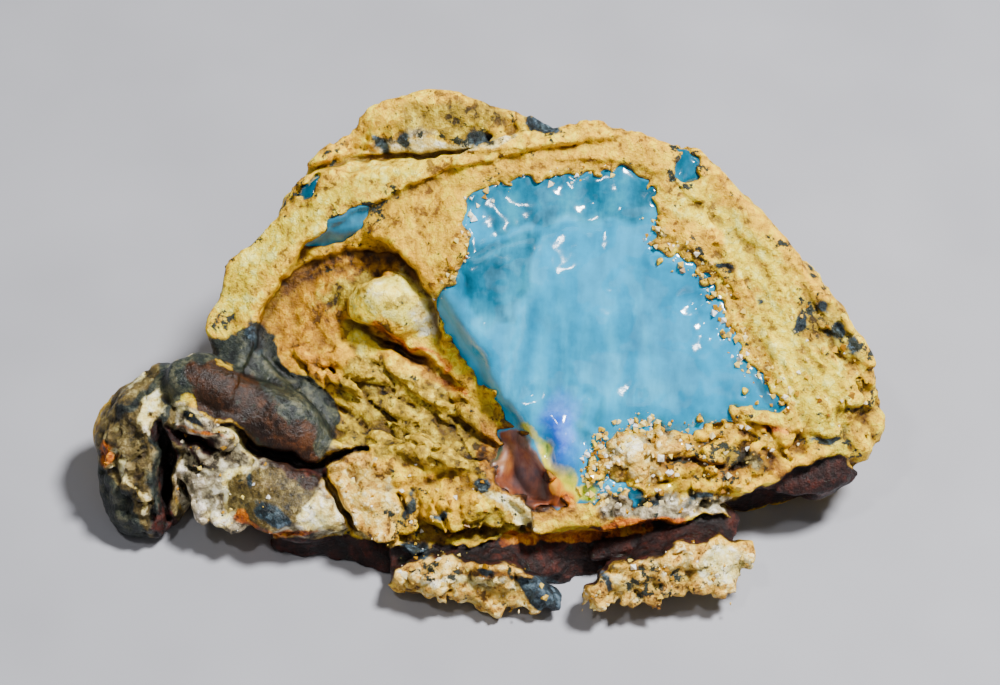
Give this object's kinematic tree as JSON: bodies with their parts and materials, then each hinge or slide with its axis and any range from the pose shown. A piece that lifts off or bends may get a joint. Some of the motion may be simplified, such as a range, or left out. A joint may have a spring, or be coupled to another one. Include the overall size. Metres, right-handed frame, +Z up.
{
  "type": "rough amber specimen",
  "caption": "Rough lump of blue amber: a leaning broad face where the clear resin shows through an ochre weathered rind, with a raised rim, a hollow and broken ledges below.",
  "frame": {"origin": "under the middle of the stone, on the surface it rests on", "axes": "+X along the stone's length, to the right as its broad face is looked at; +Y away from that view, to the far side; +Z up"},
  "size_m": [0.0674, 0.04, 0.0276],
  "materials": {
    "rind": "dry, crumbly weathered rind of fossil resin, ochre yellow with darker specks",
    "clear_resin": "fresh broken fossil resin, see-through, glossy, blue where light strikes it and honey brown through thin edges"
  },
  "bodies": {
    "root": {"amber_specimen": "rind"}
  },
  "joints": []
}
